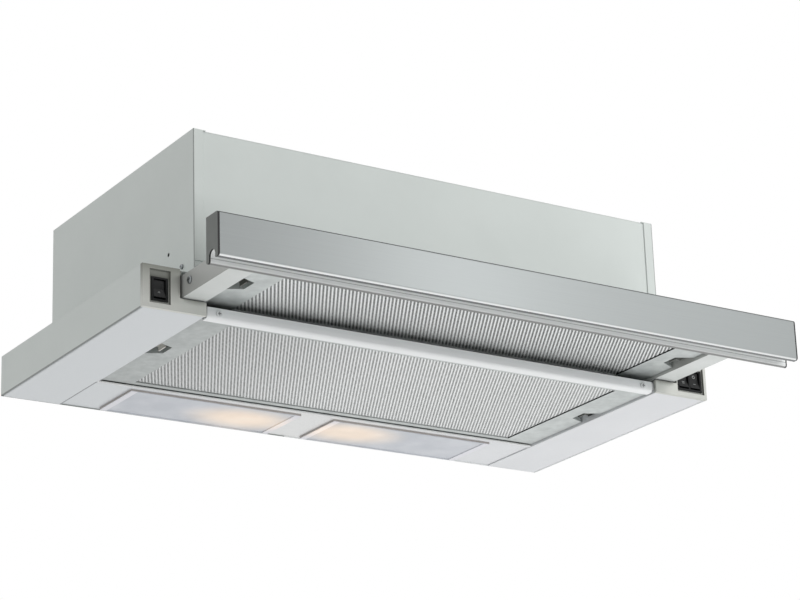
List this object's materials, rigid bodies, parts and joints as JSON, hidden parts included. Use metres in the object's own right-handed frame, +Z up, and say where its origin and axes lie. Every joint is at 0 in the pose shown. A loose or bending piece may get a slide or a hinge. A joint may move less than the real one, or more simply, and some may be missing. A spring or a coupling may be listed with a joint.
{
  "type": "pull out range hood",
  "caption": "Telescopic under-cabinet range hood with a pull-out visor, two tilting grease filters, rear lamps, rocker switches, a blower and an outlet collar with flaps.",
  "frame": {"origin": "centre of the four cabinet screw holes, in the plane of the base's top ledges", "axes": "+X to the right seen from the front, along the hood's width; +Y to the wall; +Z up"},
  "size_m": [0.598, 0.4145, 0.2011],
  "materials": {
    "casing": "satin grey paint",
    "light_paint": "satin light grey paint",
    "zinc_steel": "zinc plated",
    "aluminium": "satin",
    "filter_mesh": "expanded mesh, corrugated",
    "stainless": "brushed along its length",
    "panel_plastic": "fine matte grain",
    "latch_plastic": "matte",
    "dark_plastic": "matte",
    "rocker_plastic": "satin gloss",
    "cap_plastic": "matte",
    "frosted_cover": "frosted, lets light through",
    "bulb_glass": "frosted",
    "nylon": "matte",
    "pale_plastic": "satin",
    "wire_sheath": "smooth",
    "red_plastic": "satin"
  },
  "bodies": {
    "housing": {"side_panel_left": "casing", "side_panel_right": "casing", "front_panel": "casing", "back_panel": "casing", "top_panel": "casing", "base_side_left": "casing", "base_side_right": "casing", "base_back": "casing", "bottom_strip_left": "light_paint", "bottom_strip_right": "light_paint", "crossbar": "light_paint", "crossbar_screws": "zinc_steel", "lamp_panel": "light_paint", "lamp_cover_left": "frosted_cover", "lamp_cover_right": "frosted_cover", "lamp_tray": "zinc_steel", "lamp_holders": "nylon", "bulbs": "bulb_glass", "switch_panel_left": "panel_plastic", "switch_panel_right": "panel_plastic", "switch_body_left": "dark_plastic", "switch_body_right": "dark_plastic", "panel_screws": "zinc_steel", "slide_guide_left": "zinc_steel", "slide_guide_right": "zinc_steel", "glide_shoes": "nylon", "volute": "dark_plastic", "volute_side_plate": "dark_plastic", "motor": "zinc_steel", "capacitor": "pale_plastic", "terminal_box": "pale_plastic", "cable_gland": "dark_plastic", "outlet_collar": "dark_plastic", "flap_spindle": "zinc_steel", "microswitch": "dark_plastic", "wiring": "wire_sheath"},
    "visor": {"fascia": "stainless", "handle_strip": "aluminium", "end_cap_left": "cap_plastic", "end_cap_right": "cap_plastic", "visor_rail_left": "zinc_steel", "visor_rail_right": "zinc_steel", "visor_crosspiece": "zinc_steel", "rail_screws": "zinc_steel"},
    "visor_filter": {"visor_filter_frame": "aluminium", "visor_filter_mesh": "filter_mesh"},
    "base_filter": {"base_filter_frame": "aluminium", "base_filter_mesh": "filter_mesh"},
    "visor_latch_left": {"visor_latch_left": "latch_plastic"},
    "visor_latch_right": {"visor_latch_right": "latch_plastic"},
    "base_latch_left": {"base_latch_left": "latch_plastic"},
    "base_latch_right": {"base_latch_right": "latch_plastic"},
    "light_rocker": {"light_rocker": "rocker_plastic"},
    "fan_rocker_inner": {"fan_rocker_inner": "rocker_plastic"},
    "fan_rocker_outer": {"fan_rocker_outer": "rocker_plastic"},
    "damper_flap_left": {"damper_flap_left": "dark_plastic"},
    "damper_flap_right": {"damper_flap_right": "dark_plastic"},
    "impeller": {"impeller": "nylon"},
    "microswitch_plunger": {"microswitch_plunger": "red_plastic"}
  },
  "joints": [
    {"name": "visor_slide", "type": "slide", "parent": "housing", "child": "visor", "axis": [0, -1, 0], "range_m": [-0.111, 0.04]},
    {"name": "visor_filter_tilt", "type": "hinge", "parent": "visor", "child": "visor_filter", "pos_m": [0, -0.1205, -0.016], "axis": [1, 0, 0], "range_deg": [0, 14]},
    {"name": "base_filter_tilt", "type": "hinge", "parent": "housing", "child": "base_filter", "pos_m": [0, 0.06085, -0.0336], "axis": [1, 0, 0], "range_deg": [0, 70]},
    {"name": "visor_latch_left_slide", "type": "slide", "parent": "visor_filter", "child": "visor_latch_left", "axis": [1, 0, 0], "range_m": [0, 0.0035], "stiffness_N_per_m": 200},
    {"name": "visor_latch_right_slide", "type": "slide", "parent": "visor_filter", "child": "visor_latch_right", "axis": [-1, 0, 0], "range_m": [0, 0.0035], "stiffness_N_per_m": 200},
    {"name": "base_latch_left_slide", "type": "slide", "parent": "base_filter", "child": "base_latch_left", "axis": [1, 0, 0], "range_m": [0, 0.0035], "stiffness_N_per_m": 200},
    {"name": "base_latch_right_slide", "type": "slide", "parent": "base_filter", "child": "base_latch_right", "axis": [-1, 0, 0], "range_m": [0, 0.0035], "stiffness_N_per_m": 200},
    {"name": "light_rocker_tilt", "type": "hinge", "parent": "housing", "child": "light_rocker", "pos_m": [-0.2823, -0.1357, -0.0207], "axis": [1, 0, 0], "range_deg": [0, 16]},
    {"name": "fan_rocker_inner_tilt", "type": "hinge", "parent": "housing", "child": "fan_rocker_inner", "pos_m": [0.2729, -0.1357, -0.0207], "axis": [1, 0, 0], "range_deg": [0, 16]},
    {"name": "fan_rocker_outer_tilt", "type": "hinge", "parent": "housing", "child": "fan_rocker_outer", "pos_m": [0.2863, -0.1357, -0.0207], "axis": [1, 0, 0], "range_deg": [0, 16]},
    {"name": "damper_flap_left_swing", "type": "hinge", "parent": "housing", "child": "damper_flap_left", "pos_m": [0, 0, 0.1457], "axis": [0, 1, 0], "range_deg": [0, 75]},
    {"name": "damper_flap_right_swing", "type": "hinge", "parent": "housing", "child": "damper_flap_right", "pos_m": [0, 0, 0.1457], "axis": [0, -1, 0], "range_deg": [0, 75]},
    {"name": "impeller_spin", "type": "hinge", "parent": "housing", "child": "impeller", "pos_m": [0, -0.031, 0.064], "axis": [1, 0, 0], "continuous": true},
    {"name": "microswitch_plunger_slide", "type": "slide", "parent": "housing", "child": "microswitch_plunger", "axis": [0, 1, 0], "range_m": [0, 0.003], "stiffness_N_per_m": 300}
  ]
}
